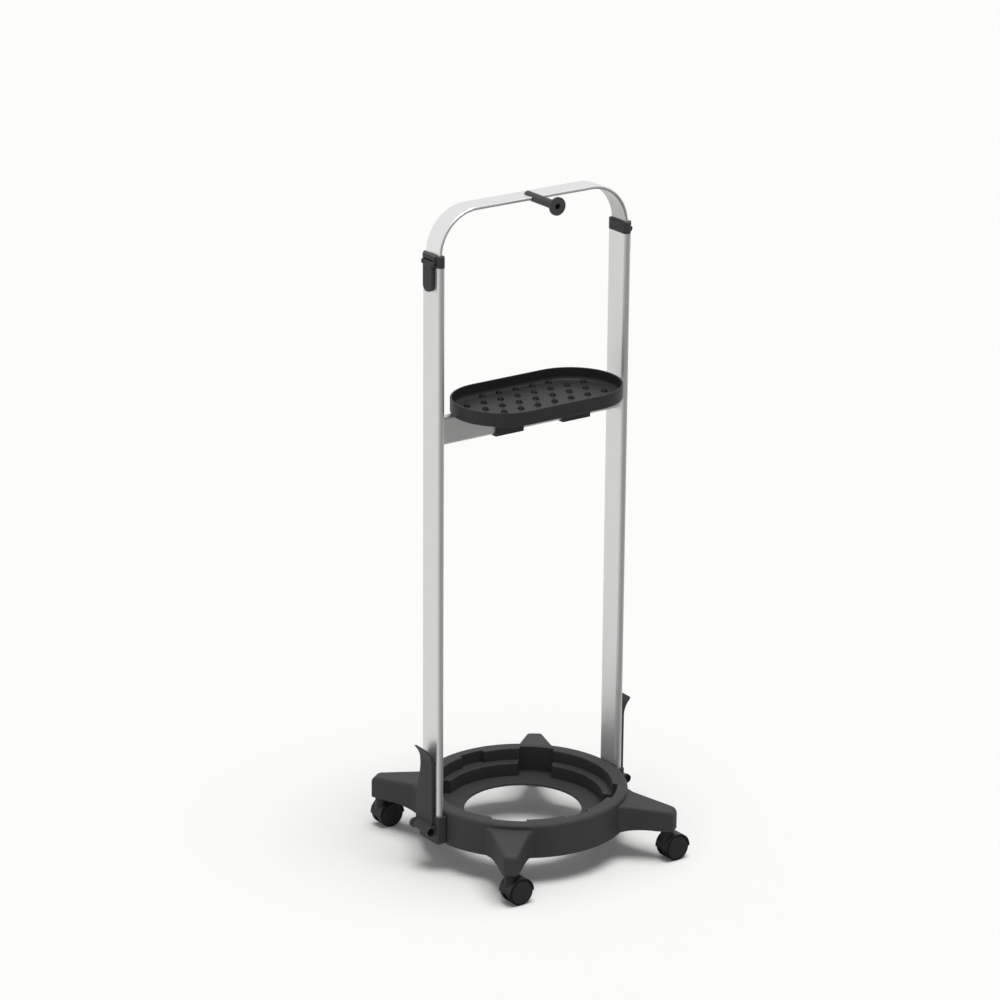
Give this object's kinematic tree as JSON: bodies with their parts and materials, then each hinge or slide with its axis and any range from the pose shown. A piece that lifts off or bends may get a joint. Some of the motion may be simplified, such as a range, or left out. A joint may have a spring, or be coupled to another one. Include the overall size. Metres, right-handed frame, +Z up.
{
  "type": "garment steamer stand",
  "caption": "Wheeled stand for a garment steamer: moulded ring base on swivel casters, flat-oval posts with a crossbar and studded tray, and a sliding bow handle with a hose peg.",
  "frame": {"origin": "on the floor, under the centre of the ring base", "axes": "+X to the right post, +Y to the back, +Z up; the hose peg points to the front, -Y"},
  "size_m": [0.3728, 0.368, 1.0107],
  "materials": {
    "aluminium_tube": "satin anodised",
    "dark_plastic": "fine matt moulded",
    "tray_plastic": "matt moulded",
    "caster_plastic": "smooth moulded",
    "nylon": "plain moulded",
    "steel": "zinc plated"
  },
  "bodies": {
    "stand": {"base_ring": "dark_plastic", "socket_screws": "steel", "crossbar": "aluminium_tube", "tray": "tray_plastic", "tray_screws": "steel", "left_foot_socket": "dark_plastic", "left_post": "aluminium_tube", "left_lever_pin": "steel", "left_collar": "dark_plastic", "left_clamp_pin": "steel", "left_tray_clip": "dark_plastic", "right_foot_socket": "dark_plastic", "right_post": "aluminium_tube", "right_lever_pin": "steel", "right_collar": "dark_plastic", "right_clamp_pin": "steel", "right_tray_clip": "dark_plastic", "front_left_bush": "nylon", "front_right_bush": "nylon", "back_right_bush": "nylon", "back_left_bush": "nylon"},
    "handle": {"handle_bow": "aluminium_tube", "left_bow_shoe": "nylon", "right_bow_shoe": "nylon", "hose_peg": "dark_plastic", "peg_screw": "steel"},
    "left_release": {"left_release_lever": "dark_plastic"},
    "left_clamp": {"left_clamp_lever": "dark_plastic"},
    "right_release": {"right_release_lever": "dark_plastic"},
    "right_clamp": {"right_clamp_lever": "dark_plastic"},
    "front_left_swivel": {"front_left_hood": "caster_plastic", "front_left_stem": "steel", "front_left_axle": "steel"},
    "front_left_near_roller": {"front_left_near_wheel": "caster_plastic"},
    "front_left_far_roller": {"front_left_far_wheel": "caster_plastic"},
    "front_right_swivel": {"front_right_hood": "caster_plastic", "front_right_stem": "steel", "front_right_axle": "steel"},
    "front_right_near_roller": {"front_right_near_wheel": "caster_plastic"},
    "front_right_far_roller": {"front_right_far_wheel": "caster_plastic"},
    "back_right_swivel": {"back_right_hood": "caster_plastic", "back_right_stem": "steel", "back_right_axle": "steel"},
    "back_right_near_roller": {"back_right_near_wheel": "caster_plastic"},
    "back_right_far_roller": {"back_right_far_wheel": "caster_plastic"},
    "back_left_swivel": {"back_left_hood": "caster_plastic", "back_left_stem": "steel", "back_left_axle": "steel"},
    "back_left_near_roller": {"back_left_near_wheel": "caster_plastic"},
    "back_left_far_roller": {"back_left_far_wheel": "caster_plastic"}
  },
  "joints": [
    {"name": "handle_slide", "type": "slide", "parent": "stand", "child": "handle", "axis": [0, 0, 1], "range_m": [0, 0.25]},
    {"name": "left_release_turn", "type": "hinge", "parent": "stand", "child": "left_release", "pos_m": [-0.178, 0, 0.067], "axis": [0, -1, 0], "range_deg": [0, 35]},
    {"name": "left_clamp_turn", "type": "hinge", "parent": "stand", "child": "left_clamp", "pos_m": [-0.1687, 0, 0.9258], "axis": [0, 1, 0], "range_deg": [0, 95]},
    {"name": "right_release_turn", "type": "hinge", "parent": "stand", "child": "right_release", "pos_m": [0.178, 0, 0.067], "axis": [0, 1, 0], "range_deg": [0, 35]},
    {"name": "right_clamp_turn", "type": "hinge", "parent": "stand", "child": "right_clamp", "pos_m": [0.1687, 0, 0.9258], "axis": [0, -1, 0], "range_deg": [0, 95]},
    {"name": "front_left_swivel_turn", "type": "hinge", "parent": "stand", "child": "front_left_swivel", "pos_m": [-0.14089, -0.1691, 0.04], "axis": [0, 0, 1], "continuous": true},
    {"name": "front_left_near_spin", "type": "hinge", "parent": "front_left_swivel", "child": "front_left_near_roller", "pos_m": [-0.12989, -0.1691, 0.02], "axis": [0, 1, 0], "continuous": true},
    {"name": "front_left_far_spin", "type": "hinge", "parent": "front_left_swivel", "child": "front_left_far_roller", "pos_m": [-0.12989, -0.1691, 0.02], "axis": [0, 1, 0], "continuous": true},
    {"name": "front_right_swivel_turn", "type": "hinge", "parent": "stand", "child": "front_right_swivel", "pos_m": [0.14089, -0.1691, 0.04], "axis": [0, 0, 1], "continuous": true},
    {"name": "front_right_near_spin", "type": "hinge", "parent": "front_right_swivel", "child": "front_right_near_roller", "pos_m": [0.15189, -0.1691, 0.02], "axis": [0, 1, 0], "continuous": true},
    {"name": "front_right_far_spin", "type": "hinge", "parent": "front_right_swivel", "child": "front_right_far_roller", "pos_m": [0.15189, -0.1691, 0.02], "axis": [0, 1, 0], "continuous": true},
    {"name": "back_right_swivel_turn", "type": "hinge", "parent": "stand", "child": "back_right_swivel", "pos_m": [0.14089, 0.1691, 0.04], "axis": [0, 0, 1], "continuous": true},
    {"name": "back_right_near_spin", "type": "hinge", "parent": "back_right_swivel", "child": "back_right_near_roller", "pos_m": [0.15189, 0.1691, 0.02], "axis": [0, 1, 0], "continuous": true},
    {"name": "back_right_far_spin", "type": "hinge", "parent": "back_right_swivel", "child": "back_right_far_roller", "pos_m": [0.15189, 0.1691, 0.02], "axis": [0, 1, 0], "continuous": true},
    {"name": "back_left_swivel_turn", "type": "hinge", "parent": "stand", "child": "back_left_swivel", "pos_m": [-0.14089, 0.1691, 0.04], "axis": [0, 0, 1], "continuous": true},
    {"name": "back_left_near_spin", "type": "hinge", "parent": "back_left_swivel", "child": "back_left_near_roller", "pos_m": [-0.12989, 0.1691, 0.02], "axis": [0, 1, 0], "continuous": true},
    {"name": "back_left_far_spin", "type": "hinge", "parent": "back_left_swivel", "child": "back_left_far_roller", "pos_m": [-0.12989, 0.1691, 0.02], "axis": [0, 1, 0], "continuous": true}
  ]
}
